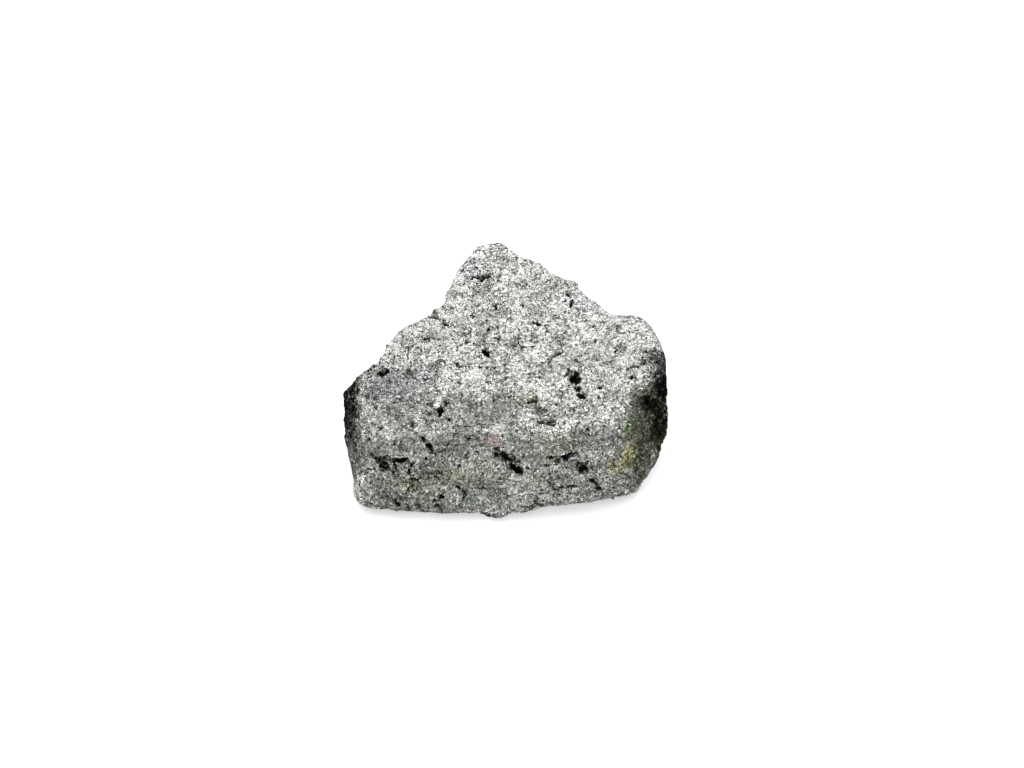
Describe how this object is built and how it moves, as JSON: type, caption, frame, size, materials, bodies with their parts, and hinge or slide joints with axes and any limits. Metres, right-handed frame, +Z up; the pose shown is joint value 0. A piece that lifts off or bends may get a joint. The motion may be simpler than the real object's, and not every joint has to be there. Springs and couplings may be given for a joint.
{
  "type": "pyrite specimen",
  "caption": "Rough lump of massive granular pyrite with a wide, flat-topped body, a blunt peak at the back, pits, cracks and ledges, resting on a flat fracture.",
  "frame": {"origin": "middle of the lump's bounding box, on the fracture that it rests on", "axes": "+X to the right along the longest side, +Y from the tall front face towards the peak at the back, +Z up through the thinnest way"},
  "size_m": [0.0502, 0.043, 0.0217],
  "materials": {
    "pyrite": "satin"
  },
  "bodies": {
    "root": {"pyrite_lump": "pyrite"}
  },
  "joints": []
}
